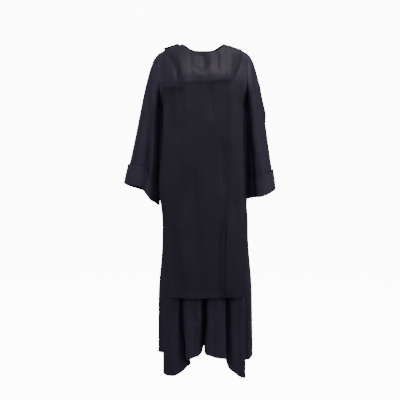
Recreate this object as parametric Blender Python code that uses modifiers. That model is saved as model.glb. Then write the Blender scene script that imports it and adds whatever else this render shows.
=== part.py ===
"""A nun's habit as it hangs on its wearer: a wide-sleeved tunic under a long scapular.

Units are metres and +Z is up. The front faces -Y, and +X is the wearer's left. The origin is the
middle of the shoulder line, where the wearer carries the habit, so all of it hangs below.

The tunic's form is a stack of sections from the shoulder seam to the hem, each half of one an arc
that runs from the middle of a panel to its edge. Both panels, the scapular on them and the sleeves
beside them are read from that one form, so their seams meet. Every piece is an open surface with a
Solidify modifier that makes it cloth.
"""

import math
from collections import namedtuple

import bpy
import numpy as np

# Driving sizes
WALL = 0.002
SEAM_GAP = 0.0003
LAYER_GAP = 0.001
HEM_DROP = 1.38
SCAPULAR_DROP = 1.09
SCAPULAR_HALF_WIDTH = 0.168
NECK_HALF_WIDTH = 0.099
NECK_FRONT_REACH = 0.073
NECK_BACK_REACH = 0.064
NECK_SQUARENESS = 2.7
BINDING_WALL = 0.0042
BINDING_SEAT = 0.0013

# Near-black cloth with a faint violet cast, and blacker trim
BODY_COLOUR = (0.018, 0.016, 0.024)
PANEL_COLOUR = (0.020, 0.018, 0.026)
TRIM_COLOUR = (0.008, 0.008, 0.011)
CLOTH_ROUGHNESS = 0.75

# Height of the shoulder line at places out from the middle: level at the neck, steeper outward.
SHOULDER_OUTWARD = (0.000, 0.060, 0.095, 0.110, 0.130, 0.150, 0.168, 0.188, 0.220)
SHOULDER_HEIGHTS = (0.002, 0.000, -0.005, -0.0088, -0.015, -0.0215, -0.028, -0.0385, -0.056)

FRONT = -1
BACK = 1

# One row for each section of the tunic, from the shoulder seam down.
# drop: below the shoulder line. front, back: how far the cloth stands out in the middle.
# half: half the width at the panel's edge. wrap: degrees of the arc from the middle to that edge,
# 90 where the edge is the side seam and less where it is the armhole. square: the arc's exponent,
# 1 for an ellipse and less for a squarer one. follow: how much of the shoulder's slope is left.
# drift: sideways shift of the middle.
Section = namedtuple("Section", "drop front back half wrap square follow drift")
SECTIONS = (
    Section(0.0000, 0.000, 0.000, 0.1880, 50, 0.75, 1.0, 0.000),
    Section(0.0015, 0.018, 0.020, 0.1880, 50, 0.75, 1.0, 0.000),
    Section(0.0060, 0.034, 0.036, 0.1880, 50, 0.75, 1.0, 0.000),
    Section(0.0140, 0.049, 0.050, 0.1880, 50, 0.75, 1.0, 0.000),
    Section(0.0260, 0.060, 0.061, 0.1880, 50, 0.75, 1.0, 0.000),
    Section(0.0560, 0.075, 0.075, 0.1880, 50, 0.75, 1.0, 0.000),
    Section(0.1050, 0.099, 0.093, 0.1880, 50, 0.70, 0.8, 0.000),
    Section(0.1625, 0.124, 0.107, 0.1880, 54, 0.65, 0.5, 0.000),
    Section(0.2150, 0.129, 0.112, 0.1880, 64, 0.60, 0.25, 0.000),
    Section(0.2550, 0.130, 0.114, 0.1880, 76, 0.60, 0.1, 0.000),
    Section(0.2900, 0.131, 0.115, 0.1880, 90, 0.60, 0.0, 0.000),
    Section(0.4500, 0.131, 0.116, 0.1870, 90, 0.58, 0.0, 0.000),
    Section(0.6400, 0.133, 0.118, 0.1870, 90, 0.55, 0.0, 0.000),
    Section(0.7900, 0.135, 0.121, 0.1860, 90, 0.52, 0.0, 0.010),
    Section(1.1000, 0.148, 0.138, 0.1980, 90, 0.50, 0.0, 0.010),
    Section(HEM_DROP, 0.160, 0.155, 0.2000, 90, 0.50, 0.0, 0.011),
)
UNDERARM_ROW = 10

# One row for each deep fold of the skirt, in degrees round from the middle of the front.
# start: drop where the fold begins. depth: how far it is drawn in at the hem.
Fold = namedtuple("Fold", "around width depth start")
FOLD_GROWTH = 1.2
LEAST_FOLDED_RADIUS = 0.05
SKIRT_FOLDS = (
    Fold(-73, 4.2, 0.024, 0.88),
    Fold(-30, 4.3, 0.064, 0.70),
    Fold(-5, 3.0, 0.115, 0.62),
    Fold(31.5, 3.8, 0.070, 0.66),
    Fold(65, 3.8, 0.030, 0.84),
    Fold(118, 7.0, 0.050, 0.80),
    Fold(146, 6.0, 0.060, 0.62),
    Fold(176, 5.0, 0.080, 0.70),
    Fold(-152, 6.5, 0.056, 0.58),
    Fold(-121, 7.0, 0.046, 0.86),
)

# How far the scapular's hem stands off the tunic, and how much flatter it hangs at its edges. Both
# begin at a part of its length, and the second is whole after another part.
STAND_OFF = 0.014
STAND_OFF_FROM = 0.12
STAND_OFF_GROWTH = 0.8
FLATTER = 0.024
FLATTER_FROM = 0.15
FLATTER_OVER = 0.4

# One row for each soft fold of the scapular. across and width: parts of its half width.
# start: drop where the fold begins. depth: how far it dips at the scapular's hem.
ScapularFold = namedtuple("ScapularFold", "across width depth start")
SCAPULAR_FOLDS = {
    FRONT: (
        ScapularFold(0.47, 0.15, 0.012, 0.62),
        ScapularFold(-0.10, 0.16, 0.005, 0.78),
        ScapularFold(-0.74, 0.13, 0.005, 0.20),
    ),
    BACK: (
        ScapularFold(-0.42, 0.17, 0.010, 0.50),
        ScapularFold(0.18, 0.15, 0.007, 0.66),
        ScapularFold(0.70, 0.13, 0.005, 0.30),
    ),
}

# How low the hem hangs round the skirt: longest on the two outer lobes of the front.
HemPoint = namedtuple("HemPoint", "around drop")
HEM = (
    HemPoint(-180, 1.350),
    HemPoint(-152, 1.378),
    HemPoint(-130, 1.392),
    HemPoint(-90, 1.338),
    HemPoint(-77, 1.340),
    HemPoint(-67, 1.419),
    HemPoint(-56, 1.428),
    HemPoint(-44, 1.427),
    HemPoint(-36, 1.418),
    HemPoint(-33.5, 1.408),
    HemPoint(-31.5, 1.390),
    HemPoint(-28.5, 1.384),
    HemPoint(-26.5, 1.358),
    HemPoint(-19, 1.350),
    HemPoint(-10, 1.338),
    HemPoint(-8, 1.331),
    HemPoint(-6.4, 1.302),
    HemPoint(-3.2, 1.304),
    HemPoint(-1.2, 1.327),
    HemPoint(4, 1.335),
    HemPoint(12, 1.345),
    HemPoint(24, 1.350),
    HemPoint(33.6, 1.352),
    HemPoint(35, 1.394),
    HemPoint(39, 1.415),
    HemPoint(47, 1.432),
    HemPoint(57, 1.440),
    HemPoint(61, 1.432),
    HemPoint(64, 1.380),
    HemPoint(70, 1.366),
    HemPoint(78, 1.360),
    HemPoint(90, 1.350),
    HemPoint(130, 1.396),
    HemPoint(146, 1.376),
    HemPoint(180, 1.350),
)
HEM_STRETCH_FROM = 1.10

# The tunic's columns over half a panel: inside the neck by the sine of these degrees, then even
# ones on to the scapular's edge and past it.
NECK_COLUMN_DEGREES = (0, 5, 10, 15, 20, 30, 40, 50, 60, 70, 80, 85, 90)
COLUMNS_ON_SHOULDER = 6
COLUMNS_BESIDE_SCAPULAR = 7
LOWER_ROW_DROPS = (0.37, 0.50, 0.64, 0.79, 0.92, 1.04, 1.14, 1.23, 1.31, HEM_DROP)
SCAPULAR_ROW_DROPS = (0.45, 0.64, 0.86, SCAPULAR_DROP)

# The neckline's cut shortens the cloth over this length, and is looked for in this many steps.
NECK_BLEND = 0.25
NECK_TRIALS = 401
SHORT_STEP = 0.004

# The neck binding's steps up from the neck edge: length, and degrees of lean towards upright.
BINDING_STEPS = ((0.0030, 10), (0.0045, 22))

# The lap on the wearer's right shoulder: from its outer to its inner end, and front to back.
LAP_OUTER = 0.168
LAP_INNER = 0.104
LAP_REACHES = (-0.012, -0.004, 0.005, 0.015, 0.027)
LAP_COLUMNS = 6
LAP_WALL = 0.003
LAP_RAISE = 0.0025

# A sleeve's lower ring: its outer and inner x, outward from the middle of the body, how far it
# reaches to the front and back, its heights at the outer and front point, at a step beyond the
# front one, and at the inner and back point, and how far the cloth leans outward as it arrives
# there, on the outer and on the inner line.
Cuff = namedtuple(
    "Cuff",
    "outer inner reach_front reach_back outer_z front_z step_z inner_z back_z lean_outer lean_inner",
)
CUFFS = {
    "left": Cuff(0.316, 0.197, 0.100, 0.098, -0.626, -0.660, -0.668, -0.674, -0.670, 0.19, 0.04),
    "right": Cuff(0.345, 0.194, 0.092, 0.094, -0.606, -0.622, -0.682, -0.704, -0.640, 0.30, 0.018),
}
STEP_AROUND = 128
SIDES = {"left": 1, "right": -1}
SLEEVE_ROWS = (0.0, 0.04, 0.10, 0.18, 0.28, 0.40, 0.54, 0.68, 0.79)
CUFF_ROWS = (0.885, 0.94, 1.0)
CUFF_FLARE = 0.003

# How a sleeve's cloth leaves the armhole: how far it goes straight on, its slope outward on the
# shoulder and its slope down there. It spreads a little to the front and back on its way.
SLEEVE_LEAVES_ARMHOLE = 0.075
SLEEVE_OUTWARD = 0.89
SLEEVE_DOWNWARD = 0.5
SLEEVE_SPREAD_AT_TOP = 0.10
SLEEVE_SPREAD_AT_CUFF = 0.03
SLEEVE_HANGS_STRAIGHT = 0.24
UNDERARM_EASE = 0.0004

# One row for each long fold of a sleeve, in degrees round from its outer line by way of the front.
SleeveFold = namedtuple("SleeveFold", "around width depth")
SLEEVE_FOLD_GROWTH = 1.3
SLEEVE_FOLDS = {
    "left": (SleeveFold(128, 14, 0.012), SleeveFold(48, 12, 0.007), SleeveFold(238, 18, 0.012)),
    "right": (SleeveFold(104, 12, 0.014), SleeveFold(146, 12, 0.009), SleeveFold(250, 18, 0.012)),
}


def smooth(stations, values, at):
    """A curve through a table's values that never overshoots them: cubic, with limited slopes."""
    stations = np.asarray(stations, float)
    values = np.asarray(values, float)
    steps = np.diff(stations)
    slopes = np.diff(values) / steps
    before = slopes[:-1]
    after = slopes[1:]
    turning = before * after <= 0
    total = np.where(turning, 1.0, before + after)
    middle = np.where(turning, 0.0, 2 * before * after / total)
    tangents = np.concatenate([slopes[:1], middle, slopes[-1:]])
    at = np.clip(at, stations[0], stations[-1])
    left = np.clip(np.searchsorted(stations, at, side="right") - 1, 0, len(steps) - 1)
    step = steps[left]
    part = (at - stations[left]) / step
    rise = part * part * (3 - 2 * part)
    leave = part * (1 - part) ** 2
    arrive = part * part * (part - 1)
    ends = values[left] * (1 - rise) + values[left + 1] * rise
    return ends + step * (leave * tangents[left] + arrive * tangents[left + 1])


def column(name):
    """One named column of the section table."""
    return np.array([getattr(section, name) for section in SECTIONS], float)


# How far down the cloth each section lies, measured along the middle of the front.
RUNS = np.concatenate([[0.0], np.cumsum(np.hypot(np.diff(column("front")), np.diff(column("drop"))))])


def run_at_drop(drop):
    return np.interp(drop, column("drop"), RUNS)


def shoulder_line(outward):
    """Height of the shoulder seam at a distance from the middle."""
    return smooth(SHOULDER_OUTWARD, SHOULDER_HEIGHTS, np.abs(outward))


def folded_in(around, drop):
    """How far the skirt's folds draw the cloth in: each a rounded trough that deepens to the hem."""
    inward = np.zeros(np.broadcast(around, drop).shape)
    for fold in SKIRT_FOLDS:
        grown = np.clip((drop - fold.start) / (HEM_DROP - fold.start), 0, 1) ** FOLD_GROWTH
        away = (around - fold.around + 180) % 360 - 180
        inward += fold.depth * grown * np.exp(-((away / fold.width) ** 2))
    return inward


def hem_stretch(around, drop):
    """What the hem's own line adds to a row's drop, from nothing at the scapular's hem."""
    angles = [point.around for point in HEM]
    drops = [point.drop for point in HEM]
    longer = smooth(angles, drops, (around + 180) % 360 - 180) - HEM_DROP
    return longer * np.clip((drop - HEM_STRETCH_FROM) / (HEM_DROP - HEM_STRETCH_FROM), 0, 1)


def body(side, across, run, folded=True):
    """Points of the tunic's form. Across is 0 in the middle of the panel, 1 at the scapular's edge
    and 2 at the panel's edge, and run is metres down the cloth."""
    across, run = np.broadcast_arrays(np.asarray(across, float), np.asarray(run, float))
    drop = smooth(RUNS, column("drop"), run)
    depth = smooth(RUNS, column("front" if side == FRONT else "back"), run)
    wrap = np.radians(smooth(RUNS, column("wrap"), run))
    square = smooth(RUNS, column("square"), run)
    full = smooth(RUNS, column("half"), run) / np.sin(wrap)
    reach = np.abs(across)
    edge = np.arcsin(SCAPULAR_HALF_WIDTH / full)
    under = np.arcsin(np.clip(reach, 0, 1) * SCAPULAR_HALF_WIDTH / full)
    turn = np.where(reach <= 1, under, edge + (reach - 1) * (wrap - edge)) * np.sign(across)
    x = full * np.sin(turn)
    y = side * depth * np.abs(np.cos(turn)) ** square
    if folded:
        around = np.degrees(turn)
        if side == BACK:
            around = 180 - around
        keep = 1 - folded_in(around, drop) / np.maximum(np.hypot(x, y), LEAST_FOLDED_RADIUS)
        x = x * keep
        y = y * keep
        drop = drop + hem_stretch(around, drop)
    z = smooth(RUNS, column("follow"), run) * shoulder_line(x) - drop
    x = x + smooth(RUNS, column("drift"), run)
    return np.stack([x, y + side * SEAM_GAP / 2, z], axis=-1)


def neck_run(side, across):
    """How far down the cloth a column starts: 0 on the shoulder seam, more inside the neckline,
    which is a squared ellipse as seen from above."""
    reach = NECK_FRONT_REACH if side == FRONT else NECK_BACK_REACH
    runs = np.linspace(0, NECK_BLEND, NECK_TRIALS)
    starts = []
    for place in across:
        outward = min(abs(place) * SCAPULAR_HALF_WIDTH / NECK_HALF_WIDTH, 1.0)
        wanted = reach * (1 - outward**NECK_SQUARENESS) ** (1 / NECK_SQUARENESS)
        depths = np.abs(body(side, place, runs)[:, 1]) - SEAM_GAP / 2
        starts.append(np.interp(wanted, depths, runs))
    return np.array(starts)


def panel(side, across, runs, folded=True):
    """A grid of points, a row for each run and a column for each place across the panel."""
    start = neck_run(side, across)[None, :]
    runs = np.asarray(runs)[:, None]
    shortened = start + runs * (1 - start / NECK_BLEND)
    return body(side, np.asarray(across)[None, :], np.where(runs < NECK_BLEND, shortened, runs), folded)


def scapular_columns():
    """Places across the scapular: closer together towards each end of the neckline."""
    corner = NECK_HALF_WIDTH / SCAPULAR_HALF_WIDTH
    inside = corner * np.sin(np.radians(NECK_COLUMN_DEGREES))
    outside = np.linspace(corner, 1, COLUMNS_ON_SHOULDER + 1)[1:]
    half = np.concatenate([inside, outside])
    return np.concatenate([-half[:0:-1], half])


def tunic_columns():
    beside = np.linspace(1, 2, COLUMNS_BESIDE_SCAPULAR + 1)[1:]
    return np.concatenate([-beside[::-1], scapular_columns(), beside])


def tunic_runs():
    """The sections' own places down to the underarm, and even steps below it."""
    return np.concatenate([RUNS[: UNDERARM_ROW + 1], run_at_drop(LOWER_ROW_DROPS)])


def outward_normals(points, closed):
    """Unit normals of a grid, from the differences along its rows and columns."""
    if closed:
        along = np.roll(points, -1, axis=1) - np.roll(points, 1, axis=1)
    else:
        along = np.gradient(points, axis=1)
    normals = np.cross(along, np.gradient(points, axis=0))
    return normals / np.linalg.norm(normals, axis=-1, keepdims=True)


def sleeve_ring(side_name, around):
    """The sleeve's lower ring, seen from its outer point by way of the front."""
    cuff = CUFFS[side_name]
    turn = np.radians(around)
    reach = np.where(np.sin(turn) > 0, cuff.reach_front, cuff.reach_back)
    x = (cuff.outer + cuff.inner) / 2 + (cuff.outer - cuff.inner) / 2 * np.cos(turn)
    heights = [cuff.outer_z, cuff.front_z, cuff.step_z, cuff.inner_z, cuff.back_z, cuff.outer_z]
    z = smooth([0, 90, STEP_AROUND, 180, 270, 360], heights, around % 360)
    return np.stack([SIDES[side_name] * x, -reach * np.sin(turn), z], axis=-1)


def sleeve(side_name, lengthwise):
    """A grid of points, a row for each place along the sleeve and a column for each line down it.

    Each line starts on the armhole, leaves it the way the shoulder slopes, and hangs to the ring.
    """
    sign = SIDES[side_name]
    runs = RUNS[: UNDERARM_ROW + 1]
    front = body(FRONT, 2 * sign, runs)
    back = body(BACK, 2 * sign, runs)
    armhole = np.concatenate([front, back[-2:0:-1]])
    armhole[[0, UNDERARM_ROW], 1] = 0
    gaps = np.linalg.norm(np.diff(front, axis=0), axis=1)
    half_turn = 180 * np.concatenate([[0], np.cumsum(gaps)]) / gaps.sum()
    around = np.concatenate([half_turn, 360 - half_turn[-2:0:-1]])
    turn = np.radians(around)
    under = (1 - np.cos(turn)) / 2
    low = np.clip(under * 2 - 1, 0, 1)
    armhole[:, 0] += sign * (SEAM_GAP + (WALL + UNDERARM_EASE) * low)
    ring = sleeve_ring(side_name, around)
    outward = sign * SLEEVE_OUTWARD * (1 - under)
    downward = -SLEEVE_DOWNWARD - (1 - SLEEVE_DOWNWARD) * under
    leave = np.stack([outward, -SLEEVE_SPREAD_AT_TOP * np.sin(turn), downward], axis=-1)
    cuff = CUFFS[side_name]
    lean = sign * (cuff.lean_outer + (cuff.lean_inner - cuff.lean_outer) * under)
    hang = np.stack([lean, -SLEEVE_SPREAD_AT_CUFF * np.sin(turn), -np.ones(len(turn))], axis=-1)
    at = np.asarray(lengthwise)[:, None, None]
    points = (1 - at) ** 3 * armhole
    points = points + 3 * at * (1 - at) ** 2 * (armhole + SLEEVE_LEAVES_ARMHOLE * leave)
    points = points + 3 * at**2 * (1 - at) * (ring - SLEEVE_HANGS_STRAIGHT * hang)
    points = points + at**3 * ring
    middle = points.mean(axis=1, keepdims=True)
    inward = np.zeros(len(around))
    for fold in SLEEVE_FOLDS[side_name]:
        away = (around - fold.around + 180) % 360 - 180
        inward = inward + fold.depth * np.exp(-((away / fold.width) ** 2))
    towards = middle - points
    towards = towards / np.linalg.norm(towards, axis=-1, keepdims=True)
    return points + towards * inward[None, :, None] * at**SLEEVE_FOLD_GROWTH


def grid_faces(rows, columns, closed, turned):
    """Quads of a grid, with its last column joined to its first where it is closed."""
    faces = []
    for row in range(rows - 1):
        for place in range(columns if closed else columns - 1):
            after = (place + 1) % columns
            quad = [row * columns + place, row * columns + after]
            quad += [(row + 1) * columns + after, (row + 1) * columns + place]
            faces.append(quad[::-1] if turned else quad)
    return faces


def cloth_material(name, colour):
    material = bpy.data.materials.new(name + "_cloth")
    material.use_nodes = True
    shader = material.node_tree.nodes["Principled BSDF"]
    shader.inputs["Base Color"].default_value = (*colour, 1.0)
    shader.inputs["Roughness"].default_value = CLOTH_ROUGHNESS
    shader.inputs["Metallic"].default_value = 0.0
    return material


def cloth_piece(collection, name, points, colour, closed=False, turned=False, wall=WALL):
    """A cut piece of cloth: the grid as an open surface, its wall centred on it."""
    rows, columns = points.shape[:2]
    mesh = bpy.data.meshes.new(name)
    mesh.from_pydata(points.reshape(-1, 3).tolist(), [], grid_faces(rows, columns, closed, turned))
    mesh.materials.append(cloth_material(name, colour))
    mesh.shade_smooth()
    piece = bpy.data.objects.new(name, mesh)
    collection.objects.link(piece)
    thickness = piece.modifiers.new("cloth thickness", "SOLIDIFY")
    thickness.thickness = wall
    thickness.offset = 0.0
    return piece


def add_tunic(collection):
    """The tunic's front and back, each cut in one from the shoulder to the hem."""
    columns = tunic_columns()
    front = panel(FRONT, columns, tunic_runs())
    back = panel(BACK, columns, tunic_runs())
    cloth_piece(collection, "tunic_front", front, BODY_COLOUR, turned=True)
    cloth_piece(collection, "tunic_back", back, BODY_COLOUR)


def scapular_panel(side):
    """The tunic's points under the scapular, moved out: close on the shoulders, free lower down."""
    across = scapular_columns()
    runs = np.concatenate([RUNS[: UNDERARM_ROW + 1], run_at_drop(SCAPULAR_ROW_DROPS)])
    under = panel(side, across, runs, folded=False)
    normals = outward_normals(under, closed=False)
    if side == BACK:
        normals = -normals
    points = under - normals * (WALL + LAYER_GAP)
    down = np.clip(-points[..., 2] / SCAPULAR_DROP, 0, 1)
    freed = np.clip((down - STAND_OFF_FROM) / (1 - STAND_OFF_FROM), 0, 1)
    stand_off = STAND_OFF * freed**STAND_OFF_GROWTH
    flatter = FLATTER * across[None, :] ** 2 * np.clip((down - FLATTER_FROM) / FLATTER_OVER, 0, 1)
    dips = np.zeros(down.shape)
    for fold in SCAPULAR_FOLDS[side]:
        start = fold.start / SCAPULAR_DROP
        grown = np.clip((down - start) / (1 - start), 0, 1)
        dips += fold.depth * grown * np.exp(-(((across[None, :] - fold.across) / fold.width) ** 2))
    points[..., 1] += side * (stand_off + flatter - dips)
    return points


def add_scapular(collection):
    """The two long panels that hang over the tunic, front and back."""
    cloth_piece(collection, "scapular_front", scapular_panel(FRONT), PANEL_COLOUR, turned=True)
    cloth_piece(collection, "scapular_back", scapular_panel(BACK), PANEL_COLOUR)


def add_sleeves(collection):
    """Two wide sleeves with a turned-back cuff on each: the sleeve's last rows, moved out."""
    for side_name, sign in SIDES.items():
        points = sleeve(side_name, SLEEVE_ROWS + CUFF_ROWS)
        turned = sign > 0
        cloth_piece(collection, "sleeve_" + side_name, points, BODY_COLOUR, closed=True, turned=turned)
        under = points[len(SLEEVE_ROWS) :]
        normals = outward_normals(under, closed=True) * (1 if turned else -1)
        outer_side = (1 + np.cos(np.linspace(0, 2 * math.pi, under.shape[1], endpoint=False))) / 2
        flare = CUFF_FLARE * np.linspace(1, 0, len(CUFF_ROWS))[:, None, None] * outer_side[None, :, None]
        cuff = under + normals * (WALL + LAYER_GAP + flare)
        cloth_piece(collection, "cuff_" + side_name, cuff, PANEL_COLOUR, closed=True, turned=turned)


def neckline():
    """Points round the neckline, with the cloth's outward normal at each: front, then back. A normal
    is square to two short steps on the tunic's form, one across it and one down it."""
    across = scapular_columns()
    across = across[np.abs(across) * SCAPULAR_HALF_WIDTH < NECK_HALF_WIDTH + SEAM_GAP]
    edges = {}
    normals = {}
    for side in (FRONT, BACK):
        run = neck_run(side, across)
        edges[side] = body(side, across, run, folded=False)
        aside = body(side, across + SHORT_STEP, run, folded=False) - edges[side]
        onward = body(side, across, run + SHORT_STEP, folded=False) - edges[side]
        normals[side] = side * np.cross(aside, onward)
    points = np.concatenate([edges[FRONT], edges[BACK][-2:0:-1]])
    outward = np.concatenate([normals[FRONT], normals[BACK][-2:0:-1]])
    return points, outward / np.linalg.norm(outward, axis=1, keepdims=True)


def add_neck_binding(collection):
    """The narrow binding that stands on the neck edge and closes both layers of cloth."""
    edge, normals = neckline()
    along = np.roll(edge, -1, axis=0) - np.roll(edge, 1, axis=0)
    rising = np.cross(along, normals)
    rising = -rising / np.linalg.norm(rising, axis=1, keepdims=True)
    row = edge + normals * (WALL + LAYER_GAP) / 2 + rising * BINDING_SEAT
    rows = [row]
    for length, lean in BINDING_STEPS:
        turn = math.radians(lean)
        row = row + length * (rising * math.cos(turn) + normals * math.sin(turn))
        rows.append(row)
    points = np.array(rows)
    cloth_piece(collection, "neck_binding", points, TRIM_COLOUR, closed=True, wall=BINDING_WALL)


def add_shoulder_lap(collection):
    """The back panel's lap over the wearer's right shoulder, where the scapular is fastened."""
    across = -np.linspace(LAP_OUTER, LAP_INNER, LAP_COLUMNS) / SCAPULAR_HALF_WIDTH
    rows = []
    for reach in LAP_REACHES:
        side = BACK if reach > 0 else FRONT
        rows.append(body(side, across, abs(reach), folded=False))
    under = np.array(rows)
    raised = LAP_RAISE * np.linspace(1, 0, len(LAP_REACHES))[:, None, None] ** 2
    lift = 1.5 * WALL + 2 * LAYER_GAP + LAP_WALL / 2 + raised
    points = under + outward_normals(under, closed=False) * lift
    cloth_piece(collection, "shoulder_lap", points, TRIM_COLOUR, wall=LAP_WALL)


for leftover in list(bpy.data.objects):
    bpy.data.objects.remove(leftover)
habit = bpy.data.collections.new("nun_habit")
bpy.context.scene.collection.children.link(habit)
add_tunic(habit)
add_scapular(habit)
add_sleeves(habit)
add_neck_binding(habit)
add_shoulder_lap(habit)
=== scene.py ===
"""A nun's habit as worn: a wide-sleeved tunic, a long scapular over it, turned-back cuffs, a bound
neck and a lap on the shoulder. Metres, +Z up, the front faces -Y, +X is the wearer's left, and the
origin is the middle of the shoulder line."""

import math

import bpy
import numpy as np
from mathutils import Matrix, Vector


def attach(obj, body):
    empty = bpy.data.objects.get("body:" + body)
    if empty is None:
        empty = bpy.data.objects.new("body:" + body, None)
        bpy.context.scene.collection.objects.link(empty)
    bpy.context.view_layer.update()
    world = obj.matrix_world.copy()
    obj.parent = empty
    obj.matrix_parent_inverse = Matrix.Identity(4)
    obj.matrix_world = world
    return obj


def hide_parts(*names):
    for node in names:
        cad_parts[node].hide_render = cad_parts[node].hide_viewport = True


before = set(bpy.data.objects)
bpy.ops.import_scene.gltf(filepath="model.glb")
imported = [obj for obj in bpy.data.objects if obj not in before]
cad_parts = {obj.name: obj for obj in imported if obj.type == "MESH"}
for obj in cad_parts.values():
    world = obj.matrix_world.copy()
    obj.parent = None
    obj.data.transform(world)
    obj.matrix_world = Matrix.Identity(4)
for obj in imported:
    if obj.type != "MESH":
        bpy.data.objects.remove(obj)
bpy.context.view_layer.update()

# The view: a level camera square on to the front and 3.4 m away, as a catalogue shows a garment.
# 1.76 m of the plane through the shoulders fills the picture's width.
eye = Vector((-0.013, -3.40, -0.60))
target = Vector((-0.0132, 0.0, -0.682))
view_width = 1.76


def placed(name, data, place=(0, 0, 0), aimed_at=None):
    """Puts data in the scene as an object, turned to face a place where one is given."""
    thing = bpy.data.objects.new(name, data)
    thing.location = place
    if aimed_at is not None:
        thing.rotation_euler = (Vector(aimed_at) - Vector(place)).to_track_quat("-Z", "Y").to_euler()
    bpy.context.scene.collection.objects.link(thing)
    return thing


camera_data = bpy.data.cameras.new("catalogue_camera")
camera_data.sensor_width = 36.0
camera_data.lens = camera_data.sensor_width * abs(eye.y) / view_width
bpy.context.scene.camera = placed("catalogue_camera", camera_data, eye, target)

# The studio: a round white backdrop that runs out over the floor and up in one sweep, and large soft
# lamps high in front, before the garment, at each side and behind, so that black cloth shows its form
# from any side.
paper_floor = -1.60
paper_radius = 6.5
paper_height = 7.0
paper_bend = 1.2


def paper_sweep(around, along):
    """Floor, a quarter circle, then wall. Along runs 0 to 1 on the floor, to 2 round the bend and to
    3 up the wall: the radius is the floor's part plus bend x sin, the height bend x (1 - cos)."""
    turn = np.clip(along - 1, 0, 1) * math.pi / 2
    radius = 0.001 + np.clip(along, 0, 1) * (paper_radius - paper_bend) + paper_bend * np.sin(turn)
    z = paper_floor + paper_bend * (1 - np.cos(turn)) + np.clip(along - 2, 0, 1) * paper_height
    return np.stack(np.broadcast_arrays(radius * np.cos(around), radius * np.sin(around), z), axis=-1)


def grid_mesh(name, points, cloth_metres=None, closed=False, turned=False):
    """A mesh of quads over a grid of points, its last column joined to its first where closed. The
    second grid is the same points' places in the flat cloth, and becomes the UV map."""
    rows, columns = points.shape[:2]
    strips = columns if closed else columns - 1
    row = np.arange(rows - 1)[:, None]
    strip = np.arange(strips)[None, :]
    after = (strip + 1) % columns
    corners = [row * columns + strip, row * columns + after]
    corners += [(row + 1) * columns + after, (row + 1) * columns + strip]
    places = [(row, strip), (row, strip + 1), (row + 1, strip + 1), (row + 1, strip)]
    if turned:
        corners = corners[::-1]
        places = places[::-1]
    corners = np.stack(corners, axis=-1).reshape(-1)
    quads = len(corners) // 4
    mesh = bpy.data.meshes.new(name)
    mesh.vertices.add(rows * columns)
    mesh.vertices.foreach_set("co", points.astype(np.float32).reshape(-1))
    mesh.loops.add(len(corners))
    mesh.loops.foreach_set("vertex_index", corners.astype(np.int32))
    mesh.polygons.add(quads)
    mesh.polygons.foreach_set("loop_start", np.arange(0, 4 * quads, 4, dtype=np.int32))
    mesh.polygons.foreach_set("loop_total", np.full(quads, 4, dtype=np.int32))
    mesh.update(calc_edges=True)
    if cloth_metres is not None:
        flat = np.stack([cloth_metres[r + 0 * s, s + 0 * r] for r, s in places], axis=-2)
        layer = mesh.uv_layers.new(name="cloth_metres")
        layer.data.foreach_set("uv", flat.astype(np.float32).reshape(-1))
    mesh.shade_smooth()
    return mesh


def fill(node, values):
    """Sets a node's sockets by name or number, or links each to the socket given for it."""
    for socket, value in values.items():
        if isinstance(value, bpy.types.NodeSocket):
            node.id_data.links.new(value, node.inputs[socket])
        else:
            node.inputs[socket].default_value = value


def shaded(name, values):
    """A material and its shader with some values, and the means to add a node to it."""
    material = bpy.data.materials.new(name)
    material.use_nodes = True
    nodes = material.node_tree.nodes
    fill(nodes["Principled BSDF"], values)

    def added(kind, values=None):
        node = nodes.new("ShaderNode" + kind)
        fill(node, values or {})
        return node

    return material, nodes["Principled BSDF"], added


paper_around = np.linspace(0, 2 * math.pi, 64, endpoint=False)[None, :]
paper_bend_steps = 1 + np.linspace(0, 1, 25)[1:]
paper_along = np.concatenate([np.linspace(0, 1, 9), paper_bend_steps, np.linspace(2, 3, 9)[1:]])
paper_points = paper_sweep(paper_around, paper_along[:, None])
paper = placed("paper_backdrop", grid_mesh("paper_backdrop", paper_points, closed=True))
paper_look = {"Base Color": (0.90, 0.90, 0.91, 1), "Roughness": 0.9}
paper_glow = {"Emission Color": (1, 1, 1, 1), "Emission Strength": 11.0}
paper.data.materials.append(shaded("white_paper", {**paper_look, **paper_glow})[0])
paper.visible_diffuse = False
paper.visible_glossy = False
paper.visible_shadow = False

world = bpy.data.worlds.new("studio_air")
world.use_nodes = True
fill(world.node_tree.nodes["Background"], {"Color": (0.96, 0.97, 1.0, 1), "Strength": 0.34})
bpy.context.scene.world = world


def softbox(name, place, aimed_at, width, height, watts, colour=(1.0, 1.0, 1.0)):
    """A rectangular lamp at a place, turned to face another."""
    lamp = bpy.data.lights.new(name, "AREA")
    lamp.shape = "RECTANGLE"
    lamp.size = width
    lamp.size_y = height
    lamp.energy = watts
    lamp.color = colour
    placed(name, lamp, place, aimed_at)


softbox("high_softbox", (0.55, -0.85, 2.30), (0.02, -0.05, -0.25), 1.6, 0.8, 122, (1.0, 0.91, 0.96))
softbox("front_softbox", (0.1, -4.2, 0.4), (0.0, 0.0, -0.6), 1.2, 1.2, 42)
softbox("left_softbox", (-3.0, -1.7, 0.5), (-0.25, 0.0, -0.30), 0.8, 1.2, 50)
softbox("right_softbox", (2.9, -1.4, 0.2), (0.25, 0.0, -0.45), 0.7, 1.6, 46)
softbox("back_softbox", (-1.0, 4.0, 1.2), (0.0, 0.0, -0.6), 2.4, 2.0, 130)

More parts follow.
